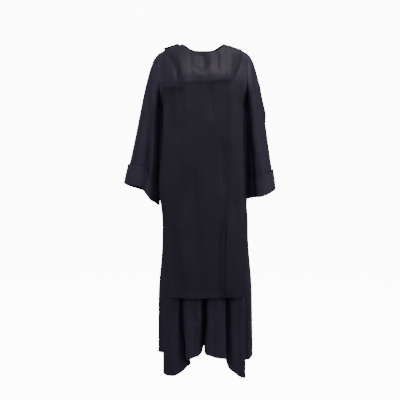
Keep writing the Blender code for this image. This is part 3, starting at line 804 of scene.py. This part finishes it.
# The sleeves: wide straight tubes of the tunic's suiting, sewn into the armholes, which fall from
# the shoulder in long folds to the wrist.
# Each wrist ring: its outer and inner x, its reach to the front and back, its heights at the outer
# and front point, at a step beyond it, and at the inner and back point, and the cloth's lean outward
# there on the outer and the inner line.
sleeve_rings = {
    "left": (0.316, 0.197, 0.100, 0.098, -0.626, -0.660, -0.668, -0.674, -0.670, 0.19, 0.04),
    "right": (0.345, 0.194, 0.092, 0.094, -0.606, -0.622, -0.682, -0.704, -0.640, 0.30, 0.018),
}
sleeve_signs = {"left": 1, "right": -1}
sleeve_deep_folds = {
    "left": ((128, 14, 0.012), (48, 12, 0.007), (238, 18, 0.012)),
    "right": ((104, 12, 0.014), (146, 12, 0.009), (250, 18, 0.012)),
}
leaves_armhole = 0.075
hangs_straight = 0.24
sleeve_length = 0.62
armhole_clearance = 0.0004
armhole_lean = 0.89

# Long creases on the front half and then on the back half of each sleeve, by x and z as seen from
# the front, with the same columns as the chest's creases.
sleeve_creases = {
    ("left", "front"): (
        (234, -172, 268, -330, 3, 6, 6, 2, 12, 0.18),
        (205, -86, 208, -240, 2, 6, 8, 3, 7.2, 0.25),
        (210, -240, 212, -560, -2, 6, 8, 3, -1.5, 0.2),
        (218, -250, 222, -450, 3, 8, 8, 4, 8, 0.22),
        (246, -460, 250, -570, 3, 8, 10, 4, 5.6, 0.25),
        (244, -240, 252, -520, -3, 8, 9, 4, -3.4, 0.25),
        (196, -60, 226, -94, 3, 4, 5, 2, 1.8, 0.3),
        (194, -80, 218, -112, 3, 4, 4, 2, -1.6, 0.3),
    ),
    ("left", "back"): (
        (232, -200, 290, -560, 8, 12, 14, 6, 4.4, 0.25),
        (212, -240, 240, -600, -6, 10, 12, 5, -4.2, 0.25),
    ),
    ("right", "front"): (
        (-214, -230, -220, -560, -3, 7, 7, 3, 10, 0.22),
        (-236, -240, -242, -600, -3, 7, 9, 4, -6.2, 0.22),
        (-198, -240, -202, -680, 4, 8, 8, 4, -1.2, 0.22),
        (-250, -220, -292, -590, -8, 14, 14, 8, 3.6, 0.28),
        (-238, -130, -268, -380, -4, 12, 14, 6, -2.6, 0.28),
        (-200, -50, -206, -125, 2, 4, 5, 2, -2.6, 0.25),
        (-209, -48, -216, -120, 2, 4, 5, 2, 2.2, 0.25),
        (-196, -85, -226, -160, 3, 6, 6, 3, 2, 0.3),
    ),
    ("right", "back"): (
        (-236, -180, -300, -560, -8, 12, 16, 6, 4.6, 0.25),
        (-214, -260, -246, -640, 6, 10, 10, 5, -4.4, 0.25),
    ),
}


def sleeve_form(name, part, lines):
    """A sleeve's surface. Line by line round it, a cubic Bezier leaves the armhole the way the
    shoulder slopes and hangs to the wrist's ring; the deep folds draw it to the middle by depth x
    part^1.3 x the bell exp(-(degrees off / width)^2)."""
    sign = sleeve_signs[name]
    outer, inner, reach_front, reach_back = sleeve_rings[name][:4]
    outer_z, front_z, step_z, inner_z, back_z, lean_outer, lean_inner = sleeve_rings[name][4:]
    run = np.linspace(0, section_run[armhole_end], lines // 2 + 1)
    front = tunic_form(-1, 2.0 * sign, run)
    back = tunic_form(1, 2.0 * sign, run)
    coarse = np.linalg.norm(np.diff(front, axis=0), axis=1)
    half_turn = 180 * np.concatenate([[0], np.cumsum(coarse)]) / coarse.sum()
    armhole = np.concatenate([front, back[-2:0:-1]])
    armhole[[0, lines // 2], 1] = 0
    around = np.concatenate([half_turn, 360 - half_turn[-2:0:-1]])
    turn = np.radians(around)
    under = (1 - np.cos(turn)) / 2
    clear = (panel_wall + armhole_clearance) * np.clip(under * 2 - 1, 0, 1)
    armhole[:, 0] += sign * (seam_gap + clear)
    ring_x = (outer + inner) / 2 + (outer - inner) / 2 * np.cos(turn)
    ring_y = -np.where(np.sin(turn) > 0, reach_front, reach_back) * np.sin(turn)
    ring_heights = (outer_z, front_z, step_z, inner_z, back_z, outer_z)
    ring_z = along_table((0, 90, 128, 180, 270, 360), ring_heights, around)
    ring = np.stack([sign * ring_x, ring_y, ring_z], axis=-1)
    leave = [sign * armhole_lean * (1 - under), -0.10 * np.sin(turn), -0.5 - 0.5 * under]
    leave = np.stack(leave, axis=-1)
    lean = sign * (lean_outer + (lean_inner - lean_outer) * under)
    hang = np.stack([lean, -0.03 * np.sin(turn), -np.ones(len(turn))], axis=-1)
    at = np.asarray(part)[:, None, None]
    points = (1 - at) ** 3 * armhole + 3 * at * (1 - at) ** 2 * (armhole + leaves_armhole * leave)
    points = points + 3 * at**2 * (1 - at) * (ring - hangs_straight * hang) + at**3 * ring
    middle = points.mean(axis=1, keepdims=True)
    inward = np.zeros(len(around))
    for place, width, depth in sleeve_deep_folds[name]:
        off = (around - place + 180) % 360 - 180
        inward = inward + depth * np.exp(-((off / width) ** 2))
    towards = middle - points
    towards = towards / np.linalg.norm(towards, axis=-1, keepdims=True)
    return points + towards * inward[None, :, None] * at**1.3


def outward_of_tube(points):
    """A tube's unit normals, turned to point away from its middle line."""
    normals = facing(points, closed=True)
    away = points - points.mean(axis=1, keepdims=True)
    return normals * np.sign((normals * away).sum())


def creased_sleeve(name, part, lines):
    """The sleeve's form moved along its normals by its creases, which fade where the cloth turns
    edge on to the front or the back, and drawn in by the seam's pull along the armhole."""
    points = sleeve_form(name, part, lines)
    normals = outward_of_tube(points)
    lift = np.zeros(points.shape[:2])
    for face, sign in (("front", -1), ("back", 1)):
        seen = eased((sign * normals[..., 1] + 0.15) / 0.5)
        lift += seen * crease_relief(points[..., 0], points[..., 2], sleeve_creases[name, face])
    from_armhole = np.asarray(part)[:, None] * sleeve_length
    pulled = seam_pull * np.exp(-((from_armhole / closing_width) ** 2))
    lift = lift * eased(from_armhole / 0.02) - pulled
    return points + normals * lift[..., None], normals


sleeve_lines = 132
cuff_top = 0.885
sleeve_parts = np.concatenate([
    (0, 0.002, 0.0045, 0.008, 0.013), np.linspace(0.020, 0.80, 92), np.linspace(0.81, 0.9955, 12)
])
for name, sign in sleeve_signs.items():
    points, normals = creased_sleeve(name, sleeve_parts, sleeve_lines)
    piece = cloth_shell(
        "sleeve_%s_cloth" % name, points, suit_black, "sleeve_" + name,
        closed=True, turned=sign > 0,
    )

# The cuffs: each sleeve's own end, folded back over itself outside and pressed, with the raw edge
# turned in and topstitched along the top. Their suiting is the sleeve's, with a lighter base colour
# that is painted light.
cuff_roll = 0.0015
cuff_seams = []
# The sleeve's suiting with its base colour raised by about a third: painted light on the cuffs.
cuff_suiting_painted_light = suiting("cuff_suiting_painted_light", (0.0196, 0.0158, 0.0296), 0.026)
cuff_edge_steps = np.array((0, 0.0018, 0.005, 0.009, 0.0125, 0.0145, 0.0165, 0.019, 0.0225))
cuff_stitch_row = 5
cuff_stand = 0.003
cuff_belly = 0.0012
cuff_hem_depth = 0.0095
cuff_hem_doubled = 0.0004
cuff_cloth_length = 0.66
cuff_parts = np.concatenate([cuff_top + cuff_edge_steps, np.linspace(0.914, 0.998, 17), (1.0,)])
down_cuff = ((cuff_parts - cuff_top) / (1 - cuff_top))[:, None]
outer_side = (1 + np.cos(np.linspace(0, 2 * math.pi, sleeve_lines, endpoint=False)))[None, :] / 2
stand = cuff_stand * (1 - down_cuff) * outer_side
stand = stand + cuff_belly * outer_side * np.sin(math.pi * down_cuff)
cuff_from_top = (cuff_parts - cuff_top)[:, None] * cuff_cloth_length
cuff_relief = hem_relief(cuff_from_top, cuff_hem_depth, cuff_hem_doubled)
roll = np.linspace(0, math.pi, 8)[1:, None, None]
for name, sign in sleeve_signs.items():
    under, normals = creased_sleeve(name, cuff_parts, sleeve_lines)
    cuff = under + normals * (2 * cuff_roll + stand + cuff_relief)[..., None]
    outward = normals[-1:] * cuff_roll * (1 + np.cos(roll))
    rolled = under[-1:] + outward - np.array((0, 0, 1)) * cuff_roll * np.sin(roll)
    cuff = np.concatenate([cuff, rolled])
    cloth_shell(
        "cuff_%s_cloth" % name, cuff, cuff_suiting_painted_light, "cuff_" + name,
        closed=True, turned=sign > 0, wall=0.0010,
    )
    stitched, stitched_normals = (
        np.concatenate([rings[cuff_stitch_row], rings[cuff_stitch_row, :1]])
        for rings in (cuff, normals)
    )
    cuff_seams.append(thread_line(stitched, stitched_normals))
cuff_stitches = thread_piece("cuff_stitches", cuff_seams, black_thread)

# The neck binding: a narrow strip of satin cut on the bias, folded over the neck edge of both
# layers and sewn through, so that it stands as a thin dark rim.
binding_seat = 0.0013
binding_steps = ((0.0030, 10), (0.0045, 22))
binding_half_wall = 0.0017
binding_columns = 150
short_step = 0.004


def neck_edge(count):
    """The neckline's points round the front and then the back, and its normals there, each square to
    two short steps on the tunic's form, one across it and one down it."""
    columns = neck_corner * np.sin(np.linspace(-math.pi / 2, math.pi / 2, count // 2 + 1))
    edges, normals = {}, {}
    for side in (-1, 1):
        run = neck_start(side, columns)
        edges[side] = tunic_form(side, columns, run, folded=False)
        aside = tunic_form(side, columns + short_step, run, folded=False) - edges[side]
        onward = tunic_form(side, columns, run + short_step, folded=False) - edges[side]
        normals[side] = side * np.cross(aside, onward)
    points = np.concatenate([edges[-1], edges[1][-2:0:-1]])
    outward = np.concatenate([normals[-1], normals[1][-2:0:-1]])
    for _ in range(6):
        outward = (np.roll(outward, 1, axis=0) + 2 * outward + np.roll(outward, -1, axis=0)) / 4
    return points, outward / np.linalg.norm(outward, axis=1, keepdims=True)


def binding_strip(count, around_fold):
    """A folded strip: its cross-section follows the two steps up from the neck edge, and round that
    line a rounded outline of half the wall, (height along the steps, wall x sin), is carried."""
    edge, normals = neck_edge(count)
    along = np.roll(edge, -1, axis=0) - np.roll(edge, 1, axis=0)
    rising = np.cross(normals, along)
    rising = rising / np.linalg.norm(rising, axis=1, keepdims=True)
    base = edge + normals * (panel_wall + layer_gap) / 2 + rising * binding_seat
    rows = [base]
    for length, lean in binding_steps:
        lean = math.radians(lean)
        rows.append(rows[-1] + length * (rising * math.cos(lean) + normals * math.sin(lean)))
    rows = np.array(rows)
    turn = np.linspace(0, 2 * math.pi, around_fold, endpoint=False)
    height = 0.5 - 0.5 * np.cos(turn)
    outward = np.sign(np.sin(turn)) * np.abs(np.sin(turn)) ** 0.6 * binding_half_wall
    total = sum(length for length, _ in binding_steps)
    first = binding_steps[0][0] / total
    low = np.clip(height / first, 0, 1)[:, None, None]
    high = np.clip((height - first) / (1 - first), 0, 1)[:, None, None]
    line = rows[0] + (rows[1] - rows[0]) * low + (rows[2] - rows[1]) * high
    place = np.arange(count)
    pucker = 1 + 0.10 * np.sin(place * 1.9) * np.sin(place * 0.37 + 1)
    return line + outward[:, None, None] * pucker[None, :, None] * normals[None]


binding_points = binding_strip(binding_columns, 16)
binding_closed = np.concatenate([binding_points, binding_points[:1]])
binding_satin = suiting("binding_satin", (0.0050, 0.0048, 0.0064), 0.04, roughness=0.50, twill=0.8)
binding_flat = flat_place(binding_closed, True)
binding_mesh = grid_mesh("neck_binding_cloth", binding_closed, binding_flat, closed=True)
binding_mesh.materials.append(binding_satin)
neck_binding = placed("neck_binding_cloth", binding_mesh)
weld = neck_binding.modifiers.new("closing seam", "WELD")
weld.merge_threshold = 0.00001
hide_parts("neck_binding")
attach(neck_binding, "root")

# The shoulder lap: the folded end of the back panel, which laps over the front at the wearer's
# right shoulder and fastens there. It is doubled and stands up in a rolled front edge, and its
# near-black colour is painted shade.
lap_outer = 0.168
lap_inner = 0.104
lap_places = 36

# Its profile from the front edge round and back: reach from the shoulder line, and lift above the
# scapular's outer face.
lap_profile = np.array([
    (-0.0098, 0.0012), (-0.0112, 0.0010), (-0.0124, 0.0014), (-0.0130, 0.0024), (-0.0128, 0.0036),
    (-0.0119, 0.0046), (-0.0104, 0.0051), (-0.0080, 0.0050), (-0.0045, 0.0045), (0.0000, 0.0038),
    (0.0050, 0.0032), (0.0105, 0.0027), (0.0160, 0.0023), (0.0205, 0.0021), (0.0240, 0.0020),
    (0.0268, 0.0019),
])
lap_columns = -np.linspace(lap_outer, lap_inner, lap_places) / scapular_half_width
lap_under = np.array([
    tunic_form(1 if reach > 0 else -1, lap_columns, abs(reach), folded=False)
    for reach in lap_profile[:, 0]
])
lap_rolled = 5
lap_normals = facing(lap_under[lap_rolled:])
lap_normals = np.concatenate([np.repeat(lap_normals[:1], lap_rolled, axis=0), lap_normals])
lap_normals = lap_normals * np.sign(lap_normals[..., 2].sum())
lap_rise = 1.5 * panel_wall + 2 * layer_gap + lap_profile[:, 1]
lap_points = lap_under + lap_normals * lap_rise[:, None, None]
lap_ripple = 0.0004 * np.sin(np.linspace(0, 9, lap_places))
lap_points = lap_points + lap_normals * lap_ripple[None, :, None]
# Near-black, far darker than the back panel's own suiting: painted shade for the dark line under the
# lap's rolled front edge.
lap_suiting_painted_shade = suiting("lap_suiting_painted_shade", (0.0050, 0.0048, 0.0064), 0.04, roughness=0.55)
shoulder_lap = cloth_shell(
    "shoulder_lap_cloth", lap_points, lap_suiting_painted_shade, "shoulder_lap", turned=True, wall=0.0018
)
lap_seams = [
    thread_line(lap_points[row, 1:-1], lap_normals[row, 1:-1], lift=0.0010) for row in (9, 14)
]
lap_stitches = thread_piece("lap_stitches", lap_seams, black_thread)
